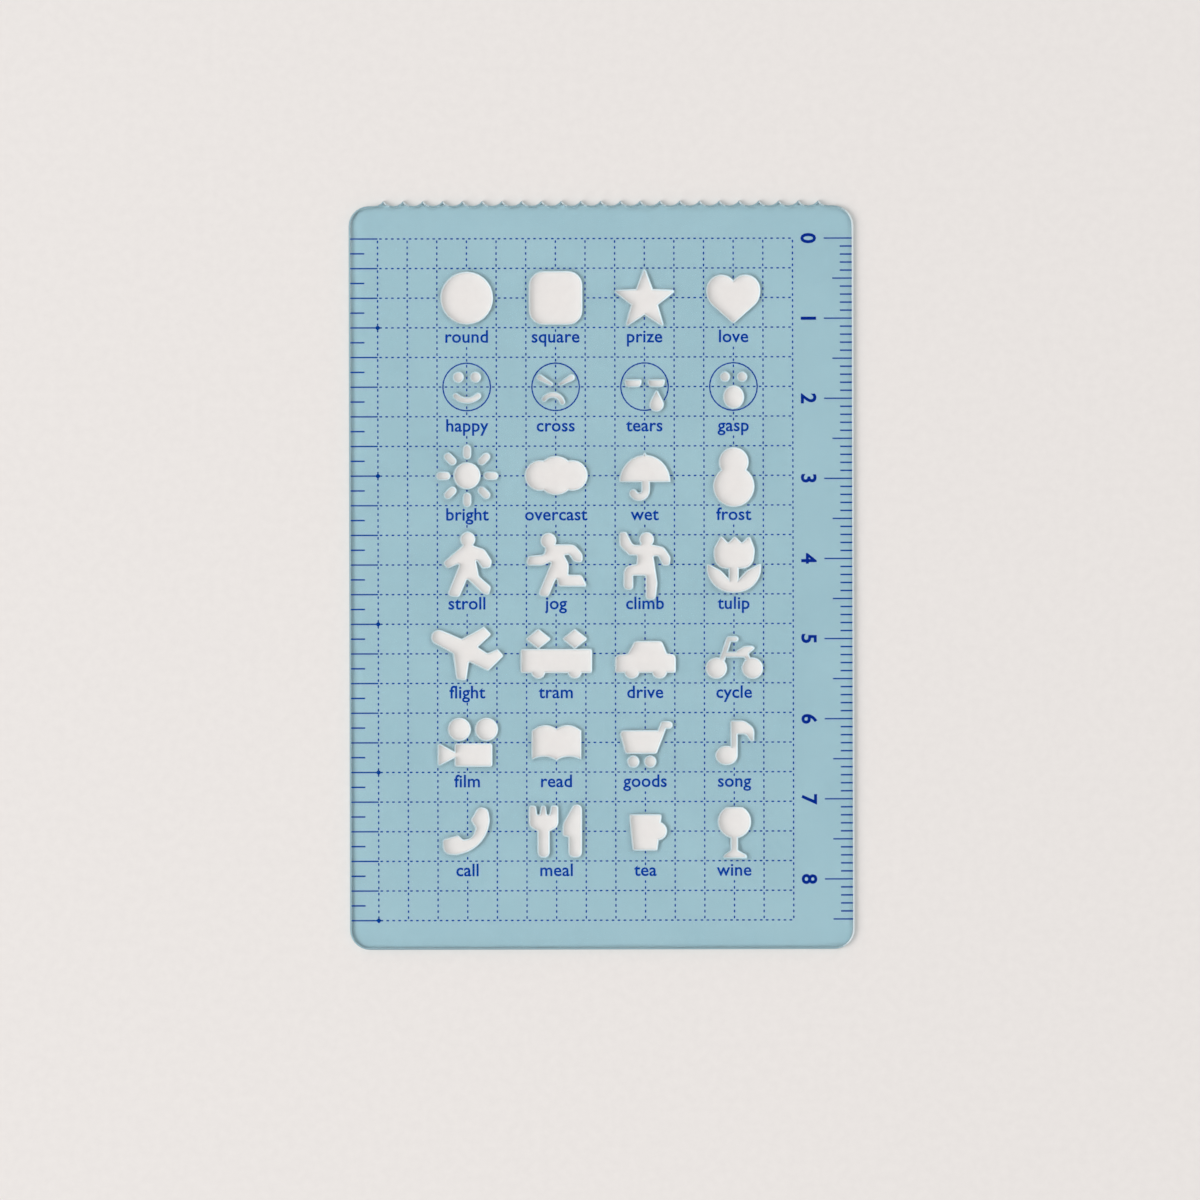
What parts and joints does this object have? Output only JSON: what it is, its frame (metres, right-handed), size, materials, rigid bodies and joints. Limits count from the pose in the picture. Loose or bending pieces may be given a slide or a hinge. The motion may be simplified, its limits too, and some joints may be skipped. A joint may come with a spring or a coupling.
{
  "type": "planner stencil",
  "caption": "Thin translucent blue plastic stencil with small everyday figures cut through it, a scalloped top edge and printed scales, for tracing signs into a notebook.",
  "frame": {"origin": "centre of the sheet's underside", "axes": "+X across the sheet towards the centimetre scale, +Y up the sheet towards the scalloped edge, +Z out of the printed face"},
  "size_m": [0.063, 0.0936, 0.0008],
  "materials": {
    "plastic": "satin, translucent",
    "ink": "matt"
  },
  "bodies": {
    "root": {"stencil_sheet": "plastic", "face_ring_smiling": "ink", "face_ring_cross": "ink", "face_ring_crying": "ink", "face_ring_surprised": "ink", "centimetre_mark_0": "ink", "centimetre_mark_1": "ink", "centimetre_mark_2": "ink", "centimetre_mark_3": "ink", "centimetre_mark_4": "ink", "centimetre_mark_5": "ink", "centimetre_mark_6": "ink", "centimetre_mark_7": "ink", "centimetre_mark_8": "ink", "half_centimetre_mark_0": "ink", "half_centimetre_mark_1": "ink", "half_centimetre_mark_2": "ink", "half_centimetre_mark_3": "ink", "half_centimetre_mark_4": "ink", "half_centimetre_mark_5": "ink", "half_centimetre_mark_6": "ink", "half_centimetre_mark_7": "ink", "half_centimetre_mark_8": "ink", "row_mark_0": "ink", "row_mark_1": "ink", "row_mark_2": "ink", "row_mark_3": "ink", "row_mark_4": "ink", "row_mark_5": "ink", "row_mark_6": "ink", "row_mark_7": "ink", "row_mark_8": "ink", "row_mark_9": "ink", "row_mark_10": "ink", "row_mark_11": "ink", "row_mark_12": "ink", "row_mark_13": "ink", "row_mark_14": "ink", "row_mark_15": "ink", "row_mark_16": "ink", "row_mark_17": "ink", "row_mark_18": "ink", "row_mark_19": "ink", "row_mark_20": "ink", "row_mark_21": "ink", "row_mark_22": "ink", "row_mark_23": "ink"}
  },
  "joints": []
}
